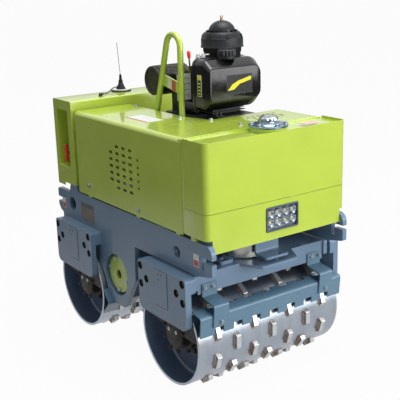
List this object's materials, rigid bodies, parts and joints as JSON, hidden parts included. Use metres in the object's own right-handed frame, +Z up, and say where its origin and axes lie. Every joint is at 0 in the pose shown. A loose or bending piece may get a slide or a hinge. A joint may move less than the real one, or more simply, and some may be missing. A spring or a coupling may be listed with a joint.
{
  "type": "trench roller",
  "caption": "Trench roller: padded steel drums under a two-plate chassis, a front yoke that swivels on a slewing ring, and a sheet hood with an engine standing through it.",
  "frame": {"origin": "on the floor, under the middle of the whole machine's outline", "axes": "+Z up, -Y towards the front, +X to the right of someone who faces the front; names with left are on -X, the side shown in the picture"},
  "size_m": [0.924, 1.456, 1.656],
  "materials": {
    "hood_paint": "glossy lime green enamel",
    "frame_paint": "satin blue grey enamel",
    "scraper_paint": "satin steel blue enamel",
    "drum_steel": "rolled steel, scuffed bright, with worn pads",
    "machined_steel": "turned steel",
    "drive_black": "satin black enamel",
    "engine_black": "satin black enamel over cast iron and sheet",
    "tank_black": "glossy black enamel",
    "black_plastic": "moulded black plastic",
    "muffler_black": "heat resistant matt black",
    "filler_chrome": "polished chrome",
    "zinc": "bright zinc plating",
    "plate_white": "white painted sheet",
    "lamp_housing": "grey lamp body with clear lenses",
    "handle_red": "red moulded plastic",
    "barrel_paint": "black enamel",
    "rod_chrome": "hard chrome",
    "lead_rubber": "black rubber covered cable"
  },
  "bodies": {
    "root": {"side_plate_left": "frame_paint", "side_plate_right": "frame_paint", "chassis_floor": "frame_paint", "swivel_cross_member": "frame_paint", "centre_box": "frame_paint", "hub_covers": "hood_paint", "slewing_ring_fixed": "frame_paint", "lock_bracket": "frame_paint", "rear_legs": "frame_paint", "rear_drives": "drive_black", "rear_outer_scraper": "scraper_paint", "rear_scraper_brackets": "scraper_paint", "rear_inner_scraper": "scraper_paint", "ram_clevis": "frame_paint", "hood_posts": "frame_paint", "side_cover_left": "hood_paint", "side_cover_right": "hood_paint", "cowl_upper": "hood_paint", "cowl_lower": "hood_paint", "work_light": "lamp_housing", "filler_flange": "zinc", "filler_cap": "filler_chrome", "rear_box": "hood_paint", "stop_handles": "handle_red", "engine_block": "engine_black", "engine_side_plate": "plate_white", "fuel_tank": "tank_black", "fuel_tank_cap": "black_plastic", "air_filter_bowl": "black_plastic", "air_filter_dome": "black_plastic", "muffler": "muffler_black", "throttle_lever": "zinc", "lifting_bail": "hood_paint", "antenna": "black_plastic", "antenna_lead": "lead_rubber", "lead_gland": "black_plastic"},
    "yoke": {"yoke_beam": "frame_paint", "slewing_ring_turning": "machined_steel", "lock_tongue": "frame_paint", "yoke_lug": "frame_paint", "ram_pin_boss": "frame_paint", "front_legs": "frame_paint", "front_drives": "drive_black", "front_outer_scraper": "scraper_paint", "front_scraper_brackets": "scraper_paint"},
    "front_drum": {"front_drum": "drum_steel"},
    "rear_drum": {"rear_drum": "drum_steel"},
    "ram_barrel": {"ram_barrel": "barrel_paint"},
    "ram_rod": {"ram_rod": "rod_chrome"}
  },
  "joints": [
    {"name": "steering", "type": "hinge", "parent": "root", "child": "yoke", "pos_m": [0, -0.412, 0.64], "axis": [0, 0, 1], "range_deg": [-15, 15]},
    {"name": "front_drum_spin", "type": "hinge", "parent": "yoke", "child": "front_drum", "pos_m": [0, -0.412, 0.255], "axis": [1, 0, 0], "continuous": true},
    {"name": "rear_drum_spin", "type": "hinge", "parent": "root", "child": "rear_drum", "pos_m": [0, 0.456, 0.255], "axis": [1, 0, 0], "continuous": true},
    {"name": "ram_barrel_pivot", "type": "hinge", "parent": "root", "child": "ram_barrel", "pos_m": [0, -0.04, 0.63], "axis": [0, 0, 1], "range_deg": [-1.3, 1.3]},
    {"name": "ram_rod_slide", "type": "slide", "parent": "ram_barrel", "child": "ram_rod", "axis": [-0.6212, -0.7837, 0], "range_m": [-0.062, 0.062]}
  ],
  "couplings": [
    {"joint": "ram_barrel_pivot", "follows": "steering", "ratio": 0.0705},
    {"joint": "ram_rod_slide", "follows": "steering", "m_per_rad": 0.22871}
  ]
}
